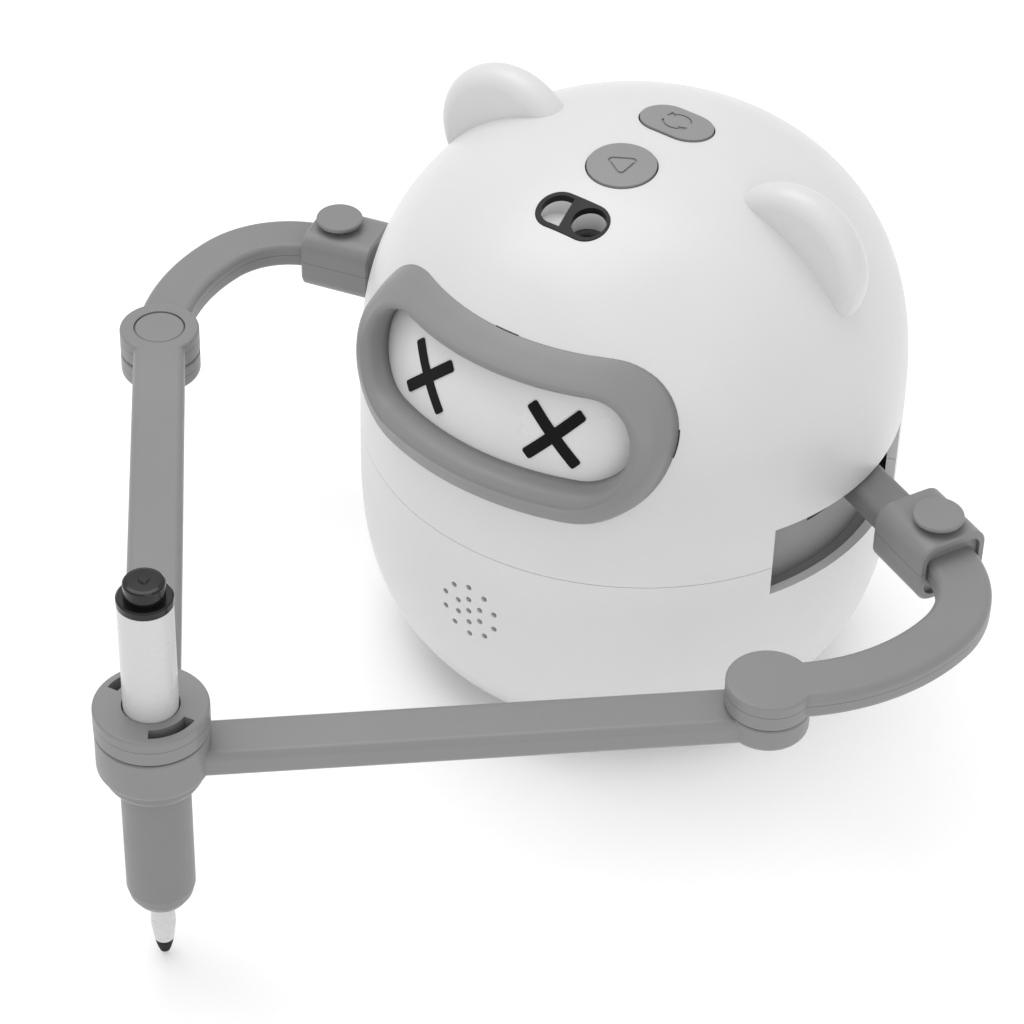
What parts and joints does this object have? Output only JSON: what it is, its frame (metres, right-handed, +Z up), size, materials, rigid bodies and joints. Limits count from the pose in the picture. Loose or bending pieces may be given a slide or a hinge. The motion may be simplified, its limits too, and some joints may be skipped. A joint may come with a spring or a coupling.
{
  "type": "drawing robot",
  "caption": "White bear-eared drawing robot whose two folding grey arms meet at a marker holder, with a goggle-shaped visor and buttons on its crown.",
  "frame": {"origin": "middle of the rubber pad under the body, at floor level", "axes": "+Z up, -Y the way the face looks, +X the robot's left"},
  "size_m": [0.2437, 0.2447, 0.1505],
  "materials": {
    "white_shell": "satin",
    "white_panel": "satin",
    "grey_plastic": "satin",
    "dark_grey_plastic": "matte",
    "black_plastic": "satin",
    "pen_white": "gloss",
    "rubber_pad": "matte",
    "lens_glass": "polished",
    "board_green": "satin",
    "steel": "brushed",
    "cell_wrap": "gloss"
  },
  "bodies": {
    "housing": {"base_shell": "white_shell", "head_shell": "white_shell", "base_plate": "dark_grey_plastic", "base_pad": "rubber_pad", "slot_liners": "grey_plastic", "face_panel": "white_panel", "eye_marks": "black_plastic", "visor_frame": "grey_plastic", "camera_bezel": "black_plastic", "camera_housing": "white_panel", "sensor_window": "lens_glass", "camera_lens_barrel": "black_plastic", "camera_lens": "lens_glass", "camera_board": "board_green", "button_board": "board_green", "key_switches": "board_green", "motor_frame": "dark_grey_plastic", "right_gearmotor": "steel", "left_gearmotor": "steel", "battery_tray": "dark_grey_plastic", "battery_cells": "cell_wrap", "main_board": "board_green", "rear_board": "board_green", "speaker": "black_plastic", "charging_socket": "steel", "charging_tongue": "steel", "switch_body": "dark_grey_plastic", "base_screws": "steel"},
    "play_key": {"play_button": "grey_plastic"},
    "loop_key": {"loop_button": "grey_plastic"},
    "power_slider": {"power_switch": "grey_plastic"},
    "right_upper_arm": {"right_drive_arm": "grey_plastic", "right_output_shaft": "steel", "right_curved_arm": "grey_plastic", "right_lock_spring": "steel", "right_elbow_pin": "steel"},
    "left_upper_arm": {"left_drive_arm": "grey_plastic", "left_output_shaft": "steel", "left_curved_arm": "grey_plastic", "left_lock_spring": "steel", "left_elbow_pin": "steel"},
    "right_lock": {"right_lock_button": "grey_plastic"},
    "left_lock": {"left_lock_button": "grey_plastic"},
    "right_lower_arm": {"right_forearm": "grey_plastic", "right_elbow_cap": "grey_plastic", "marker_holder": "grey_plastic", "holder_collar": "grey_plastic"},
    "left_lower_arm": {"left_forearm": "grey_plastic"},
    "marker": {"marker_barrel": "pen_white", "marker_plug": "black_plastic", "marker_nib": "black_plastic"}
  },
  "joints": [
    {"name": "arm_swing", "type": "hinge", "parent": "housing", "child": "right_upper_arm", "pos_m": [0, 0.0325, 0], "axis": [0, 0, 1], "range_deg": [-0.2, 9.3]},
    {"name": "arm_spread", "type": "hinge", "parent": "right_upper_arm", "child": "left_upper_arm", "pos_m": [0, 0.0325, 0], "axis": [0, 0, 1], "range_deg": [-8, 0]},
    {"name": "right_elbow", "type": "hinge", "parent": "right_upper_arm", "child": "right_lower_arm", "pos_m": [-0.10454, -0.05774, 0], "axis": [0, 0, 1], "range_deg": [-8, 0]},
    {"name": "left_elbow", "type": "hinge", "parent": "left_upper_arm", "child": "left_lower_arm", "pos_m": [0.08821, -0.07375, 0], "axis": [0, 0, 1], "range_deg": [0, 8]},
    {"name": "right_lock_press", "type": "slide", "parent": "right_upper_arm", "child": "right_lock", "axis": [0, 0, -1], "range_m": [0, 0.0015], "stiffness_N_per_m": 300, "springref_m": -0.001, "deforming": ["right_lock_spring"]},
    {"name": "left_lock_press", "type": "slide", "parent": "left_upper_arm", "child": "left_lock", "axis": [0, 0, -1], "range_m": [0, 0.0015], "stiffness_N_per_m": 300, "springref_m": -0.001, "deforming": ["left_lock_spring"]},
    {"name": "play_press", "type": "slide", "parent": "housing", "child": "play_key", "axis": [0, 0, -1], "range_m": [0, 0.001], "stiffness_N_per_m": 300, "springref_m": -0.001},
    {"name": "loop_press", "type": "slide", "parent": "housing", "child": "loop_key", "axis": [0, 0, -1], "range_m": [0, 0.001], "stiffness_N_per_m": 300, "springref_m": -0.001},
    {"name": "power_slide", "type": "slide", "parent": "housing", "child": "power_slider", "axis": [1, 0, 0], "range_m": [0, 0.0034]},
    {"name": "marker_lift", "type": "slide", "parent": "right_lower_arm", "child": "marker", "axis": [0, 0, 1], "range_m": [0, 0.06]}
  ],
  "couplings": [
    {"joint": "right_elbow", "follows": "arm_spread", "ratio": 1},
    {"joint": "left_elbow", "follows": "arm_spread", "ratio": -1}
  ]
}
